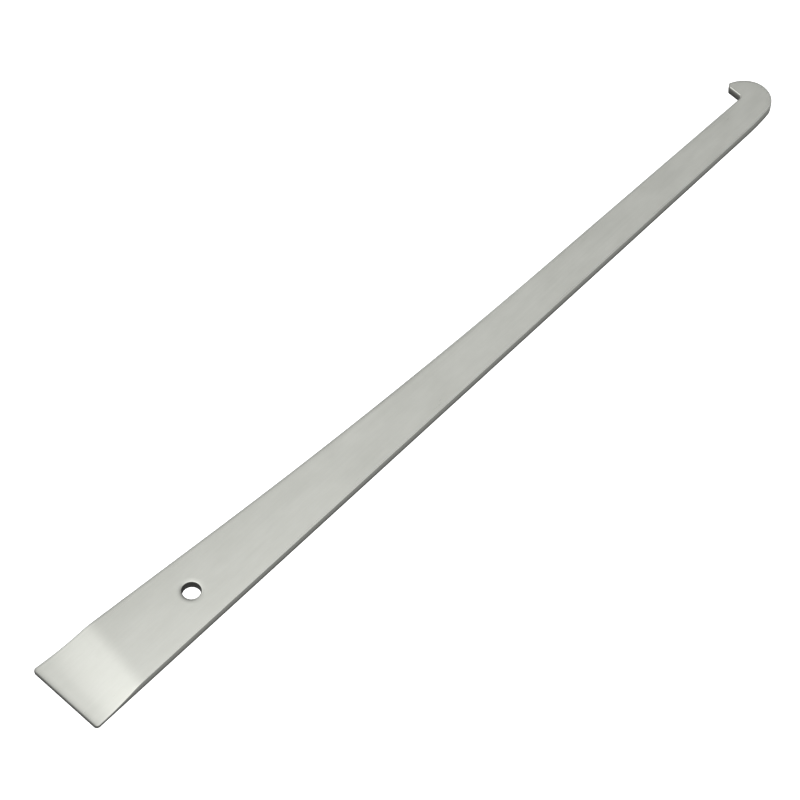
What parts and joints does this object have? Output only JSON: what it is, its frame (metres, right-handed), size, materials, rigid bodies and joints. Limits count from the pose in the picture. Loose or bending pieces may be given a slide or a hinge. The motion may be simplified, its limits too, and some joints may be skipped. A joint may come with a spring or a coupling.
{
  "type": "hive tool",
  "caption": "Long flat J-hook hive tool in satin stainless plate: a flared, ground prying blade with a round hole at one end and a small lifting hook at the other.",
  "frame": {"origin": "middle of the part's bounding box, on the flat underside of the plate", "axes": "+X along the straight back edge from the blade towards the hook, +Y towards the side that the hook's nose points to, +Z out of the face that the blade's bevel is ground on"},
  "size_m": [0.42, 0.036, 0.004],
  "materials": {
    "satin_stainless": "satin"
  },
  "bodies": {
    "root": {"tool_body": "satin_stainless"}
  },
  "joints": []
}
